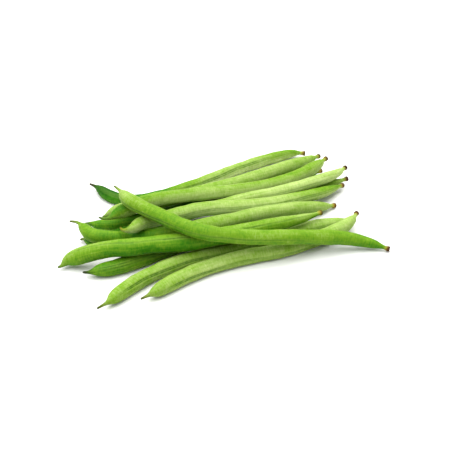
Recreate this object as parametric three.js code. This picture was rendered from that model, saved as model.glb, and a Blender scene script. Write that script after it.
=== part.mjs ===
import * as THREE from "three";

// A loose bunch of green beans lying on a table. Millimetres, +Z up, +X along the bunch from
// the curled blossom ends to the cut stalks, +Y towards the back. The origin is on the table
// under the middle of the bunch. Every pod is one closed solid swept along its own curved
// centre line: a thin tail, a blunt head, a round body, a tapering shoulder and a short stalk.

// How a pod is made, the same for all
const SIDES = 12;               // flat sides round a pod; one of them faces down
const TAIL_TIP_RADIUS = 0.4;
const TAIL_ROOT_RADIUS = 1;
const HEAD_LENGTH = 13;         // from the tail's root to the full thickness
const HEAD_ROUNDNESS = 0.5;     // the smaller, the blunter the head
const NECK_RADIUS = 1.15;
const STALK_RADIUS = 1.3;       // at the cut end, a little wider than the neck
const STALK_LENGTH = 3;
const TABLE_PRESS = 0.12;       // how deep a lying pod is flattened where it rests

// Where the rings of the sweep stand, as shares of each stretch
const TAIL_RINGS = [0.08, 0.55, 1];
const HEAD_RINGS = [0.07, 0.18, 0.34, 0.54, 0.77, 1];
const BODY_RING_COUNT = 11;
const SHOULDER_RINGS = [0, 0.25, 0.47, 0.66, 0.83, 1];
const STALK_RINGS = [0.15, 1];

// The pods. girth is the thickness at the middle, tail and shoulder are lengths, and course
// is the centre line from the tip of the tail to the cut stalk. A point with no height of its
// own lies on the table, so its height is the pod's half thickness.
const PODS = [
  {
    name: "pod_top", color: "#69a42c", girth: 7.8, tail: 6, shoulder: 28,
    course: [
      [-57, 3, 22.5], [-53.5, -1, 22], [-48.5, -9, 21.8], [-32.5, -22.5, 21.5], [-12, -36, 21.5],
      [12, -33, 16], [37.5, -27.5, 12], [61, -21, 6.5], [75.5, -21.5, 3.2], [83, -23.5, 1.5],
    ],
  },
  {
    name: "pod_back", color: "#6fa236", girth: 6.5, tail: 5, shoulder: 20,
    course: [
      [-74, 35], [-69.5, 31.5], [-63, 24], [-56, 19.5], [-48, 18.5], [-37.5, 21.5], [-19, 32],
      [8.5, 51], [28.5, 62.5], [39.5, 67], [45.5, 66.5],
    ],
  },
  {
    name: "pod_back_inner", color: "#6aa834", girth: 7.4, tail: 2.5, shoulder: 22,
    course: [
      [-63.5, -2.5, 6.5], [-62, -2, 7], [-59, -0.5, 8], [-53.5, 1, 9], [-39, 4.5, 10.5],
      [-13.5, 15, 10.5], [8.5, 25.5, 10.5], [30.5, 40, 9.5], [41.5, 50.5, 6.5], [49, 58, 5],
      [53, 62, 4],
    ],
  },
  {
    name: "pod_upper", color: "#a3c866", girth: 7.1, tail: 7, shoulder: 12,
    course: [
      [-64.5, -9.5, 11.5], [-61.5, -11.5, 12], [-58.5, -11.5, 12.5], [-55, -8.5, 13], [-50.5, -6.5, 14],
      [-38.5, -1, 16], [-23, 4, 15.5], [-2.5, 11.5, 13], [19, 22, 9.5], [35.5, 31.5, 8.5],
      [48, 41.5, 9], [56, 50, 10],
    ],
  },
  {
    name: "pod_under_back", color: "#4f8a1f", girth: 6.4, tail: 3, shoulder: 16,
    course: [
      [-73, -3], [-70.5, -3], [-65, -4], [-54.5, -3.5], [-39.5, 2.5], [-13.5, 15.5], [13.5, 28.5],
      [36, 39.5], [47, 45], [53.5, 48.5],
    ],
  },
  {
    name: "pod_upper_middle", color: "#9cc75c", girth: 6.2, tail: 3.5, shoulder: 18,
    course: [
      [-74, -15, 1.3], [-72.5, -14.5, 1.5], [-69.5, -17.5, 2.2], [-66, -19, 2.8], [-61.5, -17.5, 3.2],
      [-54, -13, 3.5], [-38.5, -5, 3.6], [-23.5, 0.5, 5], [-7.5, 2.5, 9], [8.5, 8, 10.7],
      [29, 15, 11.2], [51, 27.5, 10.4], [61.5, 36.5, 9.3], [66, 42.5, 8.7],
    ],
  },
  {
    name: "pod_middle", color: "#a2c95f", girth: 7.1, tail: 4.5, shoulder: 34,
    course: [
      [-52.5, -20.5, 13], [-51, -23, 13], [-48.5, -23.5, 13.3], [-46, -23, 14], [-42, -19, 14.2],
      [-30.5, -11.5, 12.7], [-13, -4, 12.5], [8, -1.5, 12.7], [29, 7, 9.8], [50.5, 19.5, 7.1],
      [59, 28, 4.7], [64, 33, 3.3],
    ],
  },
  {
    name: "pod_lower_middle", color: "#86b843", girth: 7.2, tail: 6.5, shoulder: 22,
    course: [
      [-79.5, -10, 9.5], [-75, -11, 9.2], [-72, -15, 9.2], [-66.5, -22, 9.3], [-58, -22.5, 8.3],
      [-46, -19.5, 5.8], [-37, -21, 8], [-27, -23, 11.5], [-17.5, -22, 12.7], [2.5, -13, 12],
      [18, -6, 11.5], [39, 4, 8], [52.5, 12, 3.6], [58.5, 16, 1.5],
    ],
  },
  {
    name: "pod_thick", color: "#74ab35", girth: 8.8, tail: 3, shoulder: 55,
    course: [
      [-82.5, -39.5, 2], [-80.5, -38.5, 2.5], [-78, -36.5, 3.8], [-71.5, -36, 6.5], [-57, -37, 11.5],
      [-46, -37.5, 13], [-36.5, -35.5, 13], [-17.5, -32, 12.7], [2.5, -26, 12.5], [22.5, -18.5, 12.5],
      [38, -11.5, 11.7], [45, -7, 11], [49.5, -4, 10.7],
    ],
  },
  {
    name: "pod_under_front", color: "#64992c", girth: 8, tail: 4, shoulder: 36,
    course: [
      [-69.5, -45.5], [-66.5, -45.5], [-61.5, -44], [-55, -42], [-47, -38], [-37.5, -32.5],
      [-12.5, -15.5], [13, 2], [40.5, 22], [60, 35], [67, 39],
    ],
  },
  {
    name: "pod_front_slim", color: "#9cc455", girth: 7.8, tail: 6.5, shoulder: 20,
    course: [
      [-60, -73.5], [-57.5, -71], [-55, -68.5], [-51, -63], [-37, -48], [-17.5, -35.5],
      [2, -27.5], [23, -16.5], [44, -8], [59.5, -2], [65, 0.5],
    ],
  },
  {
    name: "pod_front", color: "#a0ca58", girth: 7.9, tail: 5.5, shoulder: 17,
    course: [
      [-40, -66.5], [-36.5, -63.5], [-33, -60.5], [-26.5, -54.5], [-12, -43.5], [7.5, -34],
      [27.5, -27.5], [47.5, -17], [60, -9.5, 5], [66, -3, 6], [68.5, 2, 6.3],
    ],
  },
];

// The radius of a pod at a distance from the tip of its tail
function radiusAt(distance, length, pod) {
  const full = pod.girth / 2;
  const left = length - distance;
  if (distance <= pod.tail) {
    return THREE.MathUtils.lerp(TAIL_TIP_RADIUS, TAIL_ROOT_RADIUS, distance / pod.tail);
  }
  if (left <= STALK_LENGTH) {
    return THREE.MathUtils.lerp(STALK_RADIUS, NECK_RADIUS, left / STALK_LENGTH);
  }
  const intoHead = Math.min((distance - pod.tail) / HEAD_LENGTH, 1);
  const intoShoulder = Math.min((left - STALK_LENGTH) / pod.shoulder, 1);
  const head = full * (1 - (1 - intoHead) ** 2.2) ** HEAD_ROUNDNESS;
  const shoulder = NECK_RADIUS + (full - NECK_RADIUS) * (1 - (1 - intoShoulder) ** 2) ** 0.8;
  return Math.min(Math.max(head, TAIL_ROOT_RADIUS), shoulder);
}

// The distances from the tip at which a pod's rings stand
function ringDistances(length, pod) {
  const bodyStart = pod.tail + HEAD_LENGTH;
  const shoulderStart = length - STALK_LENGTH - pod.shoulder;
  const stalkStart = length - STALK_LENGTH;
  const distances = [];
  for (const share of TAIL_RINGS) distances.push(share * pod.tail);
  for (const share of HEAD_RINGS) distances.push(pod.tail + share * HEAD_LENGTH);
  for (let ring = 1; ring <= BODY_RING_COUNT; ring += 1) {
    const share = ring / (BODY_RING_COUNT + 1);
    distances.push(THREE.MathUtils.lerp(bodyStart, shoulderStart, share));
  }
  for (const share of SHOULDER_RINGS) distances.push(shoulderStart + share * pod.shoulder);
  for (const share of STALK_RINGS) distances.push(stalkStart + share * STALK_LENGTH);
  return distances;
}

// The centre line, smooth through the pod's course
function centreLine(pod) {
  const lyingHeight = (pod.girth / 2) * Math.cos(Math.PI / SIDES) - TABLE_PRESS;
  const points = pod.course.map(([x, y, z = lyingHeight]) => new THREE.Vector3(x, y, z));
  const curve = new THREE.CatmullRomCurve3(points, false, "centripetal");
  curve.arcLengthDivisions = 400;
  return curve;
}

// One ring of the sweep, square to the centre line and never below the table
function addRing(positions, curve, share, radius) {
  const centre = curve.getPointAt(share);
  const along = curve.getTangentAt(share);
  const side = new THREE.Vector3().crossVectors(along, new THREE.Vector3(0, 0, 1)).normalize();
  const up = new THREE.Vector3().crossVectors(side, along);
  for (let corner = 0; corner < SIDES; corner += 1) {
    const angle = ((corner + 0.5) / SIDES) * 2 * Math.PI;
    const point = centre.clone();
    point.addScaledVector(side, radius * Math.cos(angle));
    point.addScaledVector(up, radius * Math.sin(angle));
    positions.push(point.x, point.y, Math.max(point.z, 0));
  }
}

// The closed skin of one pod: a point at each end and the rings between them
function podGeometry(pod) {
  const curve = centreLine(pod);
  const length = curve.getLength();
  const distances = ringDistances(length, pod);
  const positions = [];
  for (const distance of distances) {
    addRing(positions, curve, distance / length, radiusAt(distance, length, pod));
  }
  const tip = distances.length * SIDES;
  const end = tip + 1;
  positions.push(...curve.getPointAt(0).toArray(), ...curve.getPointAt(1).toArray());

  const faces = [];
  const lastRing = tip - SIDES;
  for (let corner = 0; corner < SIDES; corner += 1) {
    const next = (corner + 1) % SIDES;
    faces.push(tip, corner, next);
    faces.push(end, lastRing + next, lastRing + corner);
    for (let ring = 0; ring < lastRing; ring += SIDES) {
      const far = ring + SIDES;
      faces.push(ring + corner, far + corner, far + next);
      faces.push(ring + corner, far + next, ring + next);
    }
  }
  const geometry = new THREE.BufferGeometry();
  geometry.setAttribute("position", new THREE.Float32BufferAttribute(positions, 3));
  geometry.setIndex(faces);
  geometry.computeVertexNormals();
  return geometry;
}

function podMesh(pod) {
  const skin = new THREE.MeshStandardMaterial({ color: pod.color, roughness: 0.5, metalness: 0 });
  const mesh = new THREE.Mesh(podGeometry(pod), skin);
  mesh.name = pod.name;
  return mesh;
}

const group = new THREE.Group();
for (const pod of PODS) group.add(podMesh(pod));

// The bunch is moved so that the origin is under the middle of its box
const middle = new THREE.Box3().setFromObject(group).getCenter(new THREE.Vector3());
group.position.set(-middle.x, -middle.y, 0);
group.updateMatrixWorld(true);

export default group;
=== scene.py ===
"""A loose bunch of fresh green beans on a white table.

Laid out as a Blender 4.5 add-on and run as a script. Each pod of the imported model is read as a
row of rings, and a fine skin is laid over them: a thin tail, a blunt head, a body with its two
seams and the swellings of its seeds, a tapering shoulder and a short cut stalk.
"""

import math

import bpy
import numpy as np
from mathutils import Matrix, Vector


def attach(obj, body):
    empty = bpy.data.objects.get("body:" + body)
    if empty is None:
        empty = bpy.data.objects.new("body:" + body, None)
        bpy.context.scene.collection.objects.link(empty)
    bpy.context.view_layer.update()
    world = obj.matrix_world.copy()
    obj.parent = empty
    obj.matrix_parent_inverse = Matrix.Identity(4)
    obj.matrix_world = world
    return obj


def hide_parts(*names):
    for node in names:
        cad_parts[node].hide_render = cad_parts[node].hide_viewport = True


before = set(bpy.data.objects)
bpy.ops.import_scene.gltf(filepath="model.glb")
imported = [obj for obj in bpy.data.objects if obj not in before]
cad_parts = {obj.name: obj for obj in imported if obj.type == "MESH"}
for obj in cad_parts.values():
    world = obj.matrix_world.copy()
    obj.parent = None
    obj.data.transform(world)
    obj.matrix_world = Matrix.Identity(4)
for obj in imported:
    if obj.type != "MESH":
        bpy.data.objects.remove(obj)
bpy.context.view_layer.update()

bl_info = {
    "name": "Green bean bunch",
    "version": (1, 0, 0),
    "blender": (4, 5, 0),
    "location": "View3D > Sidebar > Beans",
    "description": "Lays downy skins, seams, tails and cut stalks over a bunch of green beans",
    "category": "Object",
}

MM = 0.001

# The model's rings: each pod of the frame has a point at each end and rings of this many corners
RING_CORNERS = 12
TAIL_END, NECK_START = 3, -3    # the rings where the tail ends and the stalk's neck starts

# Mesh of a skin
RING_STEP = 0.55 * MM           # between rings along the body
FINE_STEP = 0.16 * MM           # between rings in the tail, the neck and the stalk
FINE_REACH = 1.6                # of the tail's and the neck's length, where they stand that close
COLUMNS = 48                    # round a pod, closer together at the two seams
SEAM_CROWDING = 0.72            # 0 spaces the columns evenly
TABLE_GAP = 0.02 * MM           # a skin stays this far above the table

# Girth of a skin
SKIN_INSET = 0.992              # of the solid's radius, before the seeds push the skin out
HEAD_FLOW = 1.9 * MM            # how widely the head and the tail flow together
ROOT_PLACE = 0.8 * MM           # past the tail's end, where they do so most
ROOT_REACH = 3.0 * MM
TIP_ROUNDING = 0.5 * MM
# The stalk's flare and its waist: share of the radius, distance from the cut, and reach
STALK_FLARE = (0.10, 0.7 * MM, 0.6 * MM)
STALK_WAIST = (-0.10, 2.6 * MM, 0.8 * MM)

# Seeds: they come in over these lengths from the tail and from the neck
SEEDS_START, SEEDS_END = 14 * MM, 16 * MM
SEED_SIZE = 0.65                # of the largest, before it varies
SEED_PUSH = 0.6                 # how far a seed pushes the skin out, of the pod's swell
SEED_SINK = 0.3                 # how far the skin lies in between them

# The seams' lips and the rib opposite: height, of the seam's depth, then place and reach, in
# halves of the seam's width
LIP_HEIGHT, LIP_PLACE, LIP_REACH = 0.62, 2.6, 1.5
RIB_HEIGHT, RIB_REACH = 0.5, 1.6
RIDGE_MEAN, RIDGE_LEAST = 0.8, 0.2

# Slow swings along a pod: what is added to the pod's seed, the wave's length in mm, and how
# much it swings
SWINGS = {
    "seed gap": (0, 40, 0.22),
    "seed size": (5, 31, 0.35),
    "girth": (9, 23, 0.04),
    "seam": (3, 47, 5.0),       # degrees round the pod
    "ridge": (7, 60, 0.5),
}
WAVE_SHARES = (1.0, 0.57, 0.31)

# The cut face, from its raised rim inwards: share of the stalk's radius, depth in mm, and the
# mm past the edge that the colours read
CUT_RINGS = ((0.93, -0.05, -0.25), (0.8, 0.05, -0.5), (0.62, 0.22, -1.1), (0.3, 0.28, -1.6))
SCAR_DEPTH = 0.3 * MM
SCAR_MARK = -2.2
FAR_FROM_RIB = 9.0              # mm, at the two end points, which carry no rib

# The skin's patterns: real length and width of a cell in mm, shift, detail and roughness
SKIN_PATTERNS = {
    "clouds": (9.0, 5.0, 0.0, 5.0, 0.6),        # patches of lighter and darker green
    "fibres": (20.0, 0.8, 4.0, 2.0, 0.55),      # lengthwise fibres
    "wrinkles": (0.6, 3.3, 9.0, 3.0, 0.65),     # fine wrinkles across the pod
    "mottle": (1.4, 1.4, 12.0, 3.0, 0.6),       # small uneven spots of the green
    "breaks": (2.0, 2.0, 15.0, 3.0, 0.55),      # gaps in the seam's dark line
    # Hairs of the down: the real ones stand closer, and these are as coarse as they need to show
    "down": (0.2, 0.2, 30.0, 2.0, 0.55),
}
# From one freckle to the next, along and round a pod, in mm, and their shift
FRECKLE_LENGTH, FRECKLE_WIDTH, FRECKLE_SHIFT = 6.0, 3.0, 21.0
POD_SHIFT = 7.3                 # moves the patterns from pod to pod, so that no two are alike

# How strongly the patterns move the green, on the scale of paleness
CLOUD_WEIGHT, WRINKLE_WEIGHT, MOTTLE_WEIGHT = 0.8, 0.7, 0.5

# How far the fibres move the ends of the dried tail and of the brown stalk, in mm
TAIL_RAGGED, STALK_RAGGED = 2.2, 1.3

# The scale of paleness, painted light and shade included, runs past deep green, 0, and pale, 1,
# at both ends
PALENESS_LOW, PALENESS_HIGH = -0.4, 1.4

# Colours that all pods share, as sRGB hex values
SEAM_GREEN = "#2C5808"
FRECKLE_BROWN = "#5E4A18"
DRIED_TIP = "#1C140A"
NECK_OLIVE = "#9AA23A"
CUT_EDGE = "#1C1008"
DOWN_TINT = "#FFFF78"

# The room: greys of its walls and ceiling by height, and a soft box above the back
ROOM_GREYS = ((0.0, "#8C8C8C"), (0.45, "#9A9A9A"), (0.85, "#FFFFFF"))
SOFT_BOX_PLACE = Vector((-0.15, 0.15, 1.0))
SOFT_BOX_SIZE = (2.0, 1.5)
TABLE_HALF = 3.0                # metres, from the middle of the table to its edges

# What the camera sees: a table seen from 35 degrees above, as in the photograph
VIEW_POINT = Vector((-0.46 * MM, 2.34 * MM, 0.0))
VIEW_HEIGHT = math.radians(35.0)
VIEW_DISTANCE = 600 * MM
LENS, SENSOR = 92.0, 36.0       # mm


class PodLook:
    """How one pod looks. Lists run from its head to its shoulder."""

    def __init__(self, seam, paleness, ridge, swell, tail, stalk, scar,
                 pair=0.0, fibrous=0.4, freckles=0.0, painted_top_light=0.0, plump=()):
        self.seam = seam            # where the upper seam runs, degrees up from the camera's side
        # The paleness lists are partly the pod's own tone and partly painted light and shade
        self.paleness = paleness    # from deep green, 0, to yellow green, 1
        self.ridge = ridge          # how plainly the seam stands out
        self.swell = swell          # how far the seeds push the skin out, in mm
        self.tail = tail            # colours of the dried tail, the stalk and the scar of its cut
        self.stalk = stalk
        self.scar = scar
        self.pair = pair            # between the two grooves of a double seam, in mm
        self.fibrous = fibrous      # how plainly the lengthwise fibres show
        self.freckles = freckles    # how dark the rubbed freckles are
        # The top's share is painted light above 0 and painted shade below 0, as the lamp falls on
        # it
        self.painted_top_light = painted_top_light          # how much paler the top is than the sides
        self.plump = plump          # thicker stretches: place from 0 to 1, mm out and mm each way


LOOKS = {
    "pod_top": PodLook(
        seam=(0, 12, -8), paleness=(0.6, 0.2, 0.3, 0.36, 0.38, 0.16), ridge=(1.2, 0.8, 0.1),
        swell=0.38, tail="#72863A", stalk="#5A3A14", scar="#B08644", painted_top_light=0.15),
    "pod_back": PodLook(
        seam=(70, 28, 50), paleness=(-0.2, 0.4, 0.9, 1.25, 1.2, 0.9), ridge=(0.6, 1.0, 0.9),
        swell=0.3, tail="#39361F", stalk="#7A6A2A", scar="#A09048", pair=0.9, fibrous=0.7,
        painted_top_light=-0.5),
    "pod_back_inner": PodLook(
        seam=(150, 140, 120), paleness=(0.85, 0.5, 0.78, 0.85, 0.65), ridge=(0.5, 0.5, 0.5),
        swell=0.24, tail="#5E7A2C", stalk="#5F5A22", scar="#8C8040"),
    "pod_upper": PodLook(
        seam=(150, 160, 150), paleness=(0.66, 1.15, 1.3, 1.16, 1.08), ridge=(0.6, 0.6, 0.6),
        swell=0.36, tail="#55702A", stalk="#6B5A22", scar="#9A8644", painted_top_light=-0.6,
        fibrous=0.6, plump=((0.13, 0.5, 7.0),)),
    # Painted shade: this pod is darkest in its middle, where it lies in shade under the pods
    # above
    "pod_under_back": PodLook(
        seam=(120, 110, 100), paleness=(0.22, 0.12, -0.4, 0.3), ridge=(0.5, 0.5, 0.5),
        swell=0.1, tail="#3E5A1C", stalk="#9A7E34", scar="#B09A50", fibrous=0.8,
        plump=((0.19, 0.45, 9.0),)),
    "pod_upper_middle": PodLook(
        seam=(60, 20, 10), paleness=(0.14, 0.4, 1.0, 1.25, 1.2), ridge=(0.7, 0.4, 0.5),
        swell=0.24, tail="#7B8A4A", stalk="#38200E", scar="#8A6A44", painted_top_light=-0.25,
        fibrous=0.9),
    # Painted light: paleness above 1 lights this pod's shaded lower side, and its top is painted
    # darker where the lamp lights it
    "pod_middle": PodLook(
        seam=(5, 20, 30), paleness=(1.3, 1.25, 1.5, 1.35, 0.95), ridge=(0.8, 0.75, 0.7),
        swell=0.26, tail="#747A14", stalk="#6A5026", scar="#C2B070", pair=0.8, fibrous=0.6,
        painted_top_light=-0.62, plump=((0.38, 0.42, 8.0),)),
    "pod_lower_middle": PodLook(
        seam=(110, 95, 100), paleness=(0.34, 0.16, 0.6, 0.88, 0.8), ridge=(0.5, 0.5, 0.5),
        swell=0.28, tail="#6A7C34", stalk="#77581C", scar="#5E3C16",
        plump=((0.5, 0.7, 10.0),)),
    "pod_thick": PodLook(
        seam=(76, 60, 50), paleness=(0.3, 0.04, 0.05, 0.12, 0.42), ridge=(0.8, 1.5, 1.0),
        swell=0.24, tail="#5E7A26", stalk="#7C7020", scar="#B8A840", fibrous=0.6,
        painted_top_light=0.36, plump=((0.48, 0.5, 10.0),)),
    "pod_under_front": PodLook(
        seam=(45, 20, 15), paleness=(0.24, 0.24, 0.3, 0.62), ridge=(1.6, 1.5, 1.0),
        swell=0.2, tail="#23300F", stalk="#4A3014", scar="#D8C074", pair=1.4, fibrous=0.9),
    "pod_front_slim": PodLook(
        seam=(40, 20, 25), paleness=(0.64, 0.7, 0.66, 0.6, 0.85), ridge=(1.6, 1.1, 0.7),
        swell=0.22, tail="#5C6E22", stalk="#6E6428", scar="#9C8C48", pair=0.7, freckles=1.0,
        fibrous=0.4, plump=((0.35, 0.4, 9.0),)),
    "pod_front": PodLook(
        seam=(12, 5, -20), paleness=(0.75, 0.86, 0.74, 0.72, 0.9), ridge=(1.4, 0.9, 0.6),
        swell=0.34, tail="#66742E", stalk="#54300F", scar="#D8B484", pair=0.7, freckles=0.3),
}
LOOK_START, LOOK_END = 0.08, 0.92       # of a pod's length, where its lists start and end


# Settings that a user would change

class BeanLooks(bpy.types.PropertyGroup):
    seed_spacing: bpy.props.FloatProperty(
        name="Seed spacing", description="From one seed's swelling to the next along a pod",
        default=11.0 * MM, min=4 * MM, max=30 * MM, unit="LENGTH")
    seam_width: bpy.props.FloatProperty(
        name="Seam width", description="Width of the groove of a pod's seam",
        default=0.6 * MM, min=0.1 * MM, max=2 * MM, unit="LENGTH")
    seam_depth: bpy.props.FloatProperty(
        name="Seam depth", description="How deep the seam lies between its two lips",
        default=0.12 * MM, min=0.0, max=0.5 * MM, unit="LENGTH")
    skin_dark: bpy.props.StringProperty(
        name="Darkest skin", description="The darkest patches of the skin, as an sRGB hex value",
        default="#1C5004")
    skin_deep: bpy.props.StringProperty(
        name="Deep skin", description="Skin of the greenest pods, as an sRGB hex value",
        default="#336E07")
    skin_mid: bpy.props.StringProperty(
        name="Mid skin", description="Skin halfway between the two, as an sRGB hex value",
        default="#688E1C")
    skin_pale: bpy.props.StringProperty(
        name="Pale skin", description="Skin of the pale pods, as an sRGB hex value",
        default="#93AB5A")
    skin_palest: bpy.props.StringProperty(
        name="Palest skin", description="The palest patches of the skin, as an sRGB hex value",
        default="#B0C47A")
    down: bpy.props.FloatProperty(
        name="Down", description="How much the fine down on the skin catches the light",
        default=0.36, min=0.0, max=1.0, subtype="FACTOR")


class TableLooks(bpy.types.PropertyGroup):
    table_colour: bpy.props.StringProperty(
        name="Table", description="Colour of the white table, as an sRGB hex value",
        default="#E2E2E0")
    sky_strength: bpy.props.FloatProperty(
        name="Room light", description="Strength of the even light of the white room",
        default=1.55, min=0.0, max=5.0)
    lamp_strength: bpy.props.FloatProperty(
        name="Soft box", description="Power of the large soft lamp above the back of the table",
        default=26.0, min=0.0, max=200.0)


# Reading a pod of the frame

def pod_rings(node):
    """Centres and radii of a pod's rings, from the tip of the tail to the cut stalk."""
    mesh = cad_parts[node].data
    points = {}
    merged = []
    for vertex in mesh.vertices:
        key = tuple(round(c, 7) for c in vertex.co)
        if key not in points:
            points[key] = len(points)
        merged.append(points[key])
    places = [Vector(key) for key in points]
    near = [set() for _ in places]
    for polygon in mesh.polygons:
        corners = [merged[v] for v in polygon.vertices]
        for here, there in zip(corners, corners[1:] + corners[:1]):
            if here != there:
                near[here].add(there)
                near[there].add(here)
    ends = [i for i, around in enumerate(near) if len(around) == RING_CORNERS]
    if len(ends) != 2:
        raise RuntimeError(f"{node}: {len(ends)} end points found, 2 expected")
    tip, end = sorted(ends, key=lambda i: places[i].x)
    centres, radii = [places[tip]], [0.0]
    seen, ring = {tip}, [tip]
    while True:
        ring = sorted({j for i in ring for j in near[i]} - seen)
        seen.update(ring)
        if not ring or ring == [end]:
            return np.array([tuple(c) for c in centres]), np.array(radii)
        centre = sum((places[i] for i in ring), Vector()) / len(ring)
        centres.append(centre)
        radii.append(max((places[i] - centre).length for i in ring))


def cubic_through(marks, values, tangents, wanted):
    """Values at the wanted places on the curve that has these values and slopes at its marks."""
    cell = np.clip(np.searchsorted(marks, wanted) - 1, 0, len(marks) - 2)
    step = marks[cell + 1] - marks[cell]
    t = (wanted - marks[cell]) / step
    if values.ndim > 1:
        step, t = step[:, None], t[:, None]
    return ((2 * t ** 3 - 3 * t ** 2 + 1) * values[cell]
            + (t ** 3 - 2 * t ** 2 + t) * step * tangents[cell]
            + (3 * t ** 2 - 2 * t ** 3) * values[cell + 1]
            + (t ** 3 - t ** 2) * step * tangents[cell + 1])


def steady_slopes(marks, values):
    """Slopes at the marks for a smooth curve that doesn't swing past them."""
    steps = np.diff(marks)
    slopes = np.diff(values) / steps
    before, after = slopes[:-1], slopes[1:]
    first = 2 * steps[1:] + steps[:-1]
    second = steps[1:] + 2 * steps[:-1]
    same = before * after > 0
    mean = (first + second) / (first / np.where(same, before, 1.0)
                               + second / np.where(same, after, 1.0))
    return np.concatenate([slopes[:1], np.where(same, mean, 0.0), slopes[-1:]])


# Laying a skin over a pod

def ring_places(length, tail, neck):
    """Where a skin's rings stand: close together in the tail, the neck and the stalk."""
    places = [0.0]
    while places[-1] < length:
        here = places[-1]
        fine = here < tail * FINE_REACH or length - here < neck * FINE_REACH
        places.append(here + (FINE_STEP if fine else RING_STEP))
    places = np.array(places)
    return places * (length / places[-1])


def wander(along, seed, wave):
    """A slow, uneven swing between -1 and 1 along a pod."""
    rng = np.random.default_rng(seed)
    total = np.zeros_like(along)
    for share in WAVE_SHARES:
        total += share * np.sin(2 * math.pi * along / (wave * share * rng.uniform(0.85, 1.2))
                                + rng.uniform(0, 2 * math.pi))
    return total / sum(WAVE_SHARES)


def hump(distance, reach):
    """1 at no distance, fading smoothly to nothing over about twice the reach."""
    return np.exp(-(distance / reach) ** 2)


def along_pod(share, values):
    """Values listed from the head to the shoulder, read at these shares of the length."""
    return np.interp(share, np.linspace(LOOK_START, LOOK_END, len(values)), values)


def pod_girth(marks, radii, along, look):
    """The skin's radius along a pod: the solid's, with plump stretches and finer ends."""
    length = marks[-1]
    radius = cubic_through(marks, radii, steady_slopes(marks, radii), along) * SKIN_INSET
    for place, extra_mm, reach_mm in look.plump:
        radius += extra_mm * MM * hump(along - place * length, reach_mm * MM)

    # The head flows into the tail in a hollow curve
    weights = hump(along[:, None] - along[None], HEAD_FLOW) * np.gradient(along)[None]
    eased = (weights @ radius) / weights.sum(axis=1)
    radius += hump(along - marks[TAIL_END] - ROOT_PLACE, ROOT_REACH) * (eased - radius)

    # The tail comes to a rounded tip, and the stalk has a waist and flares to its cut
    radius *= np.sqrt(1 - (1 - np.clip(along / TIP_ROUNDING, 0, 1)) ** 2)
    for share, place, reach in (STALK_FLARE, STALK_WAIST):
        radius *= 1 + share * hump(length - along - place, reach)
    return radius


def skin_faces(rings):
    """Faces of a closed skin, whose last two points are the tip and the middle of the scar."""
    tip, scar = rings * COLUMNS, rings * COLUMNS + 1
    last = (rings - 1) * COLUMNS
    faces = []
    for ring in range(rings - 1):
        for column in range(COLUMNS):
            here = ring * COLUMNS + column
            beside = ring * COLUMNS + (column + 1) % COLUMNS
            faces.append((here, here + COLUMNS, beside + COLUMNS, beside))
    for column in range(COLUMNS):
        beside = (column + 1) % COLUMNS
        faces.append((tip, column, beside))
        faces.append((scar, last + beside, last + column))
    return faces


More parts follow.
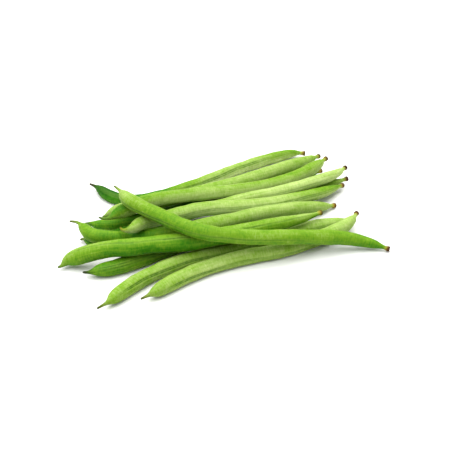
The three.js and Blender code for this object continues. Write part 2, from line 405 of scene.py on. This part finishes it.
def lay_skin(node, look, settings, seed):
    """The fine closed mesh of one pod, with what its material reads kept on its points."""
    centres, radii = pod_rings(node)
    marks = np.append(0.0, np.cumsum(np.linalg.norm(np.diff(centres, axis=0), axis=1)))
    length = marks[-1]
    tail, neck = marks[TAIL_END], length - marks[NECK_START]
    along = ring_places(length, tail, neck)
    from_cut = length - along
    share = along / length
    spine = cubic_through(marks, centres, np.gradient(centres, marks, axis=0), along)
    radius = pod_girth(marks, radii, along, look)

    def swing(kind):
        shift, wave_mm, strength = SWINGS[kind]
        return strength * wander(along, seed + shift, wave_mm * MM)

    # Directions along the pod, across it and up
    tangent = np.gradient(spine, along, axis=0)
    tangent /= np.linalg.norm(tangent, axis=1)[:, None]
    side = np.cross(tangent, (0.0, 0.0, 1.0))
    side /= np.linalg.norm(side, axis=1)[:, None]
    up = np.cross(side, tangent)

    # Seeds push the skin out on both sides, more in the body than towards the ends
    body = (np.clip((along - tail) / SEEDS_START, 0, 1)
            * np.clip((from_cut - neck) / SEEDS_END, 0, 1))
    spacing = settings.seed_spacing * (1 + swing("seed gap"))
    phase = 2 * math.pi * np.cumsum(np.diff(along, prepend=0.0) / spacing)
    seeds = (0.5 + 0.5 * np.cos(phase)) * (SEED_SIZE + swing("seed size"))
    even = np.arange(COLUMNS) * 2 * math.pi / COLUMNS
    turned = even - SEAM_CROWDING * np.sin(2 * even) / 2
    pushed = look.swell * MM * body[:, None] * (
        SEED_PUSH * seeds[:, None] * np.sin(turned) ** 2 - SEED_SINK)

    # Two seams: the upper one is a groove between two lips, and the one opposite a low rib
    from_seam = np.abs((turned + math.pi) % (2 * math.pi) - math.pi)
    from_rib = np.abs(turned - math.pi)
    to_groove = np.abs(from_seam * radius[:, None] - look.pair * MM / 2)
    half = settings.seam_width / 2
    profile = settings.seam_depth * (
        LIP_HEIGHT * hump(to_groove - LIP_PLACE * half, LIP_REACH * half)
        + RIB_HEIGHT * hump(from_rib * radius[:, None], RIB_REACH * half)
        - hump(to_groove, half))
    keep = body * along_pod(share, look.ridge) * np.clip(RIDGE_MEAN + swing("ridge"),
                                                         RIDGE_LEAST, 1.0)

    reach = (radius * (1 + swing("girth") * body))[:, None] + pushed + keep[:, None] * profile
    seam_line = np.radians(along_pod(share, look.seam) + swing("seam"))
    angle = seam_line[:, None] + turned
    shell = spine[:, None] + reach[..., None] * (np.cos(angle)[..., None] * side[:, None]
                                                 + np.sin(angle)[..., None] * up[:, None])

    # The cut: a rim, a step down and a scar that is slightly hollow
    edge, inward = shell[-1], -tangent[-1]
    middle = edge.mean(axis=0)
    cut = [middle + (edge - middle) * left + inward * depth_mm * MM
           for left, depth_mm, _ in CUT_RINGS]
    shell = np.concatenate([shell[1:], cut])
    points = np.concatenate([shell.reshape(-1, 3), [spine[0], middle + inward * SCAR_DEPTH]])
    points[:, 2] = np.maximum(points[:, 2], TABLE_GAP)

    mesh = bpy.data.meshes.new(node + "_skin")
    mesh.from_pydata([tuple(p) for p in points], [], skin_faces(len(shell)))
    mesh.update()
    mesh.shade_smooth()

    # What the material reads at each point: mm from the tip, the cut, the seam and the rib
    # opposite, how pale the skin is with its painted light and shade, and how plainly the seam
    # shows
    def with_cut(values, at_cut=None):
        """Values of the rings from the second on, with those of the cut's rings."""
        tail_values = values[-1:] if at_cut is None else np.reshape(at_cut, (-1, 1))
        return np.concatenate([values[1:], np.broadcast_to(
            tail_values, (len(CUT_RINGS), values.shape[1]))])

    def on_points(values, at_tip, at_scar):
        """Values of all the rings' points, with those of the two end points."""
        return np.append(np.broadcast_to(values, shell.shape[:2]).ravel(), [at_tip, at_scar])

    ring_along = with_cut(along[:, None])
    wide_mm = with_cut(radius[:, None]) / MM
    pale = along_pod(ring_along / length, look.paleness)
    # How far each point faces up: the painted light and shade on the pod's top follow it
    on_top = np.clip(np.sin(with_cut(angle)), 0, 1)
    marks_past_cut = [mark * MM for _, _, mark in CUT_RINGS]
    from_tip_mm = on_points(ring_along / MM, 0.0, length / MM)
    fields = {
        "from_tip_mm": from_tip_mm,
        "from_cut_mm": on_points(with_cut(from_cut[:, None], marks_past_cut) / MM,
                                 length / MM, SCAR_MARK),
        "from_seam_mm": on_points(np.abs(from_seam * wide_mm - look.pair / 2), 0.0, 0.0),
        "from_rib_mm": on_points(from_rib * wide_mm, FAR_FROM_RIB, FAR_FROM_RIB),
        "paleness": on_points(pale + look.painted_top_light * on_top, pale[0, 0], pale[-1, 0]),
        "seam_keep": on_points(with_cut(keep[:, None], [0.0]), 0.0, 0.0),
    }
    for name, values in fields.items():
        layer = mesh.attributes.new(name, "FLOAT", "POINT")
        layer.data.foreach_set("value", values.astype(np.float32))
    skin_mm = np.stack([from_tip_mm, on_points(np.cos(turned) * wide_mm, 0.0, 0.0),
                        on_points(np.sin(turned) * wide_mm, 0.0, 0.0)], axis=1)
    layer = mesh.attributes.new("skin_mm", "FLOAT_VECTOR", "POINT")
    layer.data.foreach_set("vector", skin_mm.astype(np.float32).ravel())

    skin = bpy.data.objects.new(node + "_skin", mesh)
    bpy.context.scene.collection.objects.link(skin)
    return skin, tail / MM


# Materials

def to_linear(code):
    """The linear colour, with alpha, of an sRGB hex value."""
    parts = [int(code[i:i + 2], 16) / 255 for i in (1, 3, 5)]
    linear = [p / 12.92 if p <= 0.04045 else ((p + 0.055) / 1.055) ** 2.4 for p in parts]
    return (*linear, 1.0)


def blend_hex(low, high, share):
    """The hex value that stands at a share of the way between two."""
    mixed = []
    for i in (1, 3, 5):
        a, b = int(low[i:i + 2], 16), int(high[i:i + 2], 16)
        mixed.append(round(a + (b - a) * share))
    return "#{:02X}{:02X}{:02X}".format(*mixed)


def add_node(tree, kind, settings=None, inputs=None):
    """Add a node, set its own settings, and set or link its inputs by name or number."""
    node = tree.nodes.new(kind)
    for name, value in (settings or {}).items():
        setattr(node, name, value)
    for slot, value in (inputs or {}).items():
        if isinstance(value, bpy.types.NodeSocket):
            tree.links.new(value, node.inputs[slot])
        else:
            node.inputs[slot].default_value = value
    return node


def set_stops(ramp, stops):
    """Give a colour ramp these stops, as pairs of a place and an sRGB hex value."""
    while len(ramp.elements) > 1:
        ramp.elements.remove(ramp.elements[-1])
    for i, (place, colour) in enumerate(stops):
        stop = ramp.elements[0] if i == 0 else ramp.elements.new(place)
        stop.position = place
        stop.color = to_linear(colour)


def empty_material(name):
    """A new material without nodes, and its tree."""
    material = bpy.data.materials.new(name)
    material.use_nodes = True
    material.node_tree.nodes.clear()
    return material, material.node_tree


def fresh_pod_skin(node, look, settings, tail_mm, number):
    """Fresh green bean skin, grown and unwashed: satin under a fine down.

    Lengthwise fibres and fine cross wrinkles break the green up, the seam is a dark line
    between paler lips, the tail dries to brown, and the cut stalk is a brown ring and a scar.
    """
    material, tree = empty_material("Fresh bean skin, " + node.replace("_", " "))
    skin = add_node(tree, "ShaderNodeAttribute", {"attribute_name": "skin_mm"}).outputs["Vector"]
    tip, cut, seam, rib, tone_and_painted_light, keep = (
        add_node(tree, "ShaderNodeAttribute", {"attribute_name": name}).outputs["Fac"]
        for name in ("from_tip_mm", "from_cut_mm", "from_seam_mm", "from_rib_mm", "paleness",
                     "seam_keep"))

    # Every pattern at its real size
    grain = {}
    for name, (long_mm, round_mm, shift, detail, roughness) in SKIN_PATTERNS.items():
        cells = add_node(tree, "ShaderNodeMapping", None, {
            "Vector": skin, "Location": (number * POD_SHIFT + shift, shift, 0),
            "Scale": (1 / long_mm, 1 / round_mm, 1 / round_mm)}).outputs[0]
        grain[name] = add_node(tree, "ShaderNodeTexNoise", None, {
            "Vector": cells, "Scale": 1.0, "Detail": detail,
            "Roughness": roughness}).outputs["Fac"]

    # Greens: cloudy patches, long fibres, cross wrinkles and mottling over the pod's paleness,
    # which holds its painted light and shade
    weights = {"clouds": CLOUD_WEIGHT, "fibres": look.fibrous, "wrinkles": WRINKLE_WEIGHT,
               "mottle": MOTTLE_WEIGHT}
    tone = tone_and_painted_light
    for name, weight in weights.items():
        tone = add_node(tree, "ShaderNodeMath", {"operation": "MULTIPLY_ADD"},
                        {0: grain[name], 1: weight, 2: tone}).outputs[0]
    middle = sum(weights.values()) / 2
    place = add_node(tree, "ShaderNodeMapRange", None, {
        "Value": tone, "From Min": middle + PALENESS_LOW, "From Max": middle + PALENESS_HIGH}).outputs[0]
    greens = add_node(tree, "ShaderNodeValToRGB", None, {"Fac": place})
    set_stops(greens.color_ramp, [
        ((paleness - PALENESS_LOW) / (PALENESS_HIGH - PALENESS_LOW), colour) for paleness, colour in (
            (PALENESS_LOW, settings.skin_dark), (0.0, settings.skin_deep), (0.5, settings.skin_mid),
            (1.0, settings.skin_pale), (PALENESS_HIGH, settings.skin_palest))])
    colour = greens.outputs["Color"]

    # The seam's dark line breaks up a little along its way, and the fibres make the dried tail
    # and the brown of the stalk end unevenly
    unbroken = add_node(tree, "ShaderNodeMapRange", None, {
        "Value": grain["breaks"], "From Min": 0.35, "From Max": 0.6, "To Min": 0.45}).outputs[0]
    keep_line = add_node(tree, "ShaderNodeMath", {"operation": "MINIMUM"},
                         {0: keep, 1: 1.0}).outputs[0]
    keep_line = add_node(tree, "ShaderNodeMath", {"operation": "MULTIPLY"},
                         {0: unbroken, 1: keep_line}).outputs[0]
    uneven = add_node(tree, "ShaderNodeMath", {"operation": "SUBTRACT"},
                      {0: grain["fibres"], 1: 0.5}).outputs[0]
    dry = add_node(tree, "ShaderNodeMath", {"operation": "MULTIPLY_ADD"},
                   {0: uneven, 1: TAIL_RAGGED, 2: tip}).outputs[0]
    brown = add_node(tree, "ShaderNodeMath", {"operation": "MULTIPLY_ADD"},
                     {0: uneven, 1: STALK_RAGGED, 2: cut}).outputs[0]

    # Coats over the green, in order: what each is measured by, where it is full and where it
    # ends, in mm, its strength, what holds it back, and its colour
    coats = [
        (seam, 0.3, 1.2, 0.3, keep, blend_hex(settings.skin_mid, settings.skin_pale, 0.6)),
        (seam, 0.1, 0.55, 0.85, keep_line, SEAM_GREEN),
        (rib, 0.1, 0.6, 0.45, keep, settings.skin_deep),
    ]
    if look.freckles:
        cells = add_node(tree, "ShaderNodeMapping", None, {
            "Vector": skin, "Location": (number * POD_SHIFT + FRECKLE_SHIFT, FRECKLE_SHIFT, 0),
            "Scale": (1 / FRECKLE_LENGTH, 1 / FRECKLE_WIDTH, 1 / FRECKLE_WIDTH)}).outputs[0]
        spots = add_node(tree, "ShaderNodeTexVoronoi", {"feature": "F1"},
                         {"Vector": cells, "Scale": 1.0}).outputs["Distance"]
        rubbed = add_node(tree, "ShaderNodeMapRange", None, {
            "Value": grain["clouds"], "From Min": 0.45, "From Max": 0.6}).outputs[0]
        coats.append((spots, 0.05, 0.12, 0.75 * look.freckles, rubbed, FRECKLE_BROWN))
    coats += [
        # The tail dries from olive at its root to brown at its tip
        (dry, tail_mm * 0.5, tail_mm + 2.0, 0.92, None, look.tail),
        (dry, 0.0, tail_mm * 0.6, 0.9, None, blend_hex(look.tail, DRIED_TIP, 0.6)),
        # The stalk: yellow olive at the neck, brown towards the cut, a dark edge, and a scar
        (brown, 2.1, 3.4, 0.8, None, blend_hex(look.stalk, NECK_OLIVE, 0.7)),
        (brown, 1.3, 2.1, 1.0, None, look.stalk),
        (cut, 0.5, 1.2, 0.85, None, blend_hex(look.stalk, CUT_EDGE, 0.6)),
        (cut, -0.8, -0.35, 1.0, None, look.scar),
    ]
    for measure, full, end, strength, held_by, coat in coats:
        share = add_node(tree, "ShaderNodeMapRange", None, {
            "Value": measure, "From Min": full, "From Max": end, "To Min": strength,
            "To Max": 0.0}).outputs[0]
        if held_by is not None:
            share = add_node(tree, "ShaderNodeMath", {"operation": "MULTIPLY"},
                             {0: share, 1: held_by}).outputs[0]
        colour = add_node(tree, "ShaderNodeMix", {"data_type": "RGBA"},
                          {0: share, 6: colour, 7: to_linear(coat)}).outputs[2]

    # Relief: cross wrinkles, fibres and the down, which shows as a fine tooth
    half_fibres = add_node(tree, "ShaderNodeMath", {"operation": "MULTIPLY"},
                           {0: grain["fibres"], 1: 0.5}).outputs[0]
    height = add_node(tree, "ShaderNodeMath", {"operation": "MULTIPLY_ADD"},
                      {0: grain["wrinkles"], 1: 0.5, 2: half_fibres}).outputs[0]
    coarse = add_node(tree, "ShaderNodeBump", None, {
        "Height": height, "Strength": 0.35, "Distance": 0.12 * MM}).outputs[0]
    fine = add_node(tree, "ShaderNodeBump", None, {
        "Height": grain["down"], "Strength": 0.3, "Distance": 0.05 * MM,
        "Normal": coarse}).outputs[0]
    satin = add_node(tree, "ShaderNodeMapRange", None, {
        "Value": grain["clouds"], "From Min": 0.3, "From Max": 0.7, "To Min": 0.46,
        "To Max": 0.6}).outputs[0]

    shader = add_node(tree, "ShaderNodeBsdfPrincipled", None, {
        "Base Color": colour, "Roughness": satin, "Normal": fine, "IOR": 1.42,
        "Specular IOR Level": 0.1, "Subsurface Weight": 0.1,
        "Subsurface Radius": (0.7, 1.0, 0.25), "Subsurface Scale": 1.2 * MM,
        "Sheen Weight": settings.down, "Sheen Roughness": 0.2,
        "Sheen Tint": to_linear(DOWN_TINT)})
    add_node(tree, "ShaderNodeOutputMaterial", None, {"Surface": shader.outputs[0]})
    return material


def matt_laminate(settings):
    """White laminate, pressed matt: an even white that takes a soft shadow."""
    material, tree = empty_material("White matt laminate")
    shader = add_node(tree, "ShaderNodeBsdfPrincipled", None, {
        "Base Color": to_linear(settings.table_colour), "Roughness": 0.75,
        "Specular IOR Level": 0.2})
    add_node(tree, "ShaderNodeOutputMaterial", None, {"Surface": shader.outputs[0]})
    return material


# Operators


class BEANS_OT_pods(bpy.types.Operator):
    """Lay a fine skin over each pod, from its brown tail to its cut stalk"""
    bl_idname = "beans.pods"
    bl_label = "Lay the pods' skins"

    def execute(self, context):
        settings = context.scene.bean_looks
        for number, (node, look) in enumerate(LOOKS.items()):
            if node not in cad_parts:
                raise RuntimeError(f"the frame has no {node}")
            skin, tail_mm = lay_skin(node, look, settings, seed=11 + 13 * number)
            skin.data.materials.append(fresh_pod_skin(node, look, settings, tail_mm, number + 1))
            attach(skin, "root")
            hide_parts(node)
        return {"FINISHED"}


class BEANS_OT_stage(bpy.types.Operator):
    """Set up the white table, the soft light and the camera"""
    bl_idname = "beans.stage"
    bl_label = "Set up the table, light and camera"

    def execute(self, context):
        settings = context.scene.table_looks
        scene = context.scene
        near, far = -TABLE_HALF, TABLE_HALF
        mesh = bpy.data.meshes.new("table")
        mesh.from_pydata([(near, near, 0), (far, near, 0), (far, far, 0), (near, far, 0)],
                         [], [(0, 1, 2, 3)])
        mesh.materials.append(matt_laminate(settings))
        table = bpy.data.objects.new("table", mesh)
        scene.collection.objects.link(table)

        world = bpy.data.worlds.new("White room")
        world.use_nodes = True
        tree = world.node_tree
        room = tree.nodes["Background"]
        room.inputs["Strength"].default_value = settings.sky_strength
        sky = add_node(tree, "ShaderNodeTexCoord").outputs["Generated"]
        height = add_node(tree, "ShaderNodeSeparateXYZ", None, {"Vector": sky}).outputs["Z"]
        walls = add_node(tree, "ShaderNodeValToRGB", None, {"Fac": height})
        set_stops(walls.color_ramp, ROOM_GREYS)
        tree.links.new(walls.outputs["Color"], room.inputs["Color"])
        scene.world = world
        scene.view_settings.view_transform = "Standard"

        lamp = bpy.data.lights.new("soft_box_above", "AREA")
        lamp.shape = "RECTANGLE"
        lamp.size, lamp.size_y = SOFT_BOX_SIZE
        lamp.energy = settings.lamp_strength
        box = bpy.data.objects.new("soft_box_above", lamp)
        box.location = SOFT_BOX_PLACE
        box.rotation_euler = (-SOFT_BOX_PLACE).to_track_quat("-Z", "Y").to_euler()
        scene.collection.objects.link(box)

        camera = bpy.data.objects.new("camera", bpy.data.cameras.new("camera"))
        camera.data.lens = LENS
        camera.data.sensor_width = SENSOR
        camera.data.clip_start = 10 * MM
        back = Vector((0, -math.cos(VIEW_HEIGHT), math.sin(VIEW_HEIGHT)))
        camera.location = VIEW_POINT + back * VIEW_DISTANCE
        camera.rotation_euler = (-back).to_track_quat("-Z", "Y").to_euler()
        scene.collection.objects.link(camera)
        scene.camera = camera
        return {"FINISHED"}


class BEANS_PT_panel(bpy.types.Panel):
    """Everything that makes the bunch, in order"""
    bl_idname = "BEANS_PT_panel"
    bl_label = "Green bean bunch"
    bl_space_type = "VIEW_3D"
    bl_region_type = "UI"
    bl_category = "Beans"

    def draw(self, context):
        layout = self.layout
        for group in (context.scene.bean_looks, context.scene.table_looks):
            for name in group.__annotations__:
                layout.prop(group, name)
        for operator in (BEANS_OT_stage, BEANS_OT_pods):
            layout.operator(operator.bl_idname)


CLASSES = (BeanLooks, TableLooks, BEANS_OT_pods, BEANS_OT_stage, BEANS_PT_panel)


def register():
    for cls in CLASSES:
        bpy.utils.register_class(cls)
    bpy.types.Scene.bean_looks = bpy.props.PointerProperty(type=BeanLooks)
    bpy.types.Scene.table_looks = bpy.props.PointerProperty(type=TableLooks)


def unregister():
    del bpy.types.Scene.table_looks
    del bpy.types.Scene.bean_looks
    for cls in reversed(CLASSES):
        bpy.utils.unregister_class(cls)


def main():
    register()
    bpy.ops.beans.stage()
    bpy.ops.beans.pods()


if __name__ == "__main__":
    main()
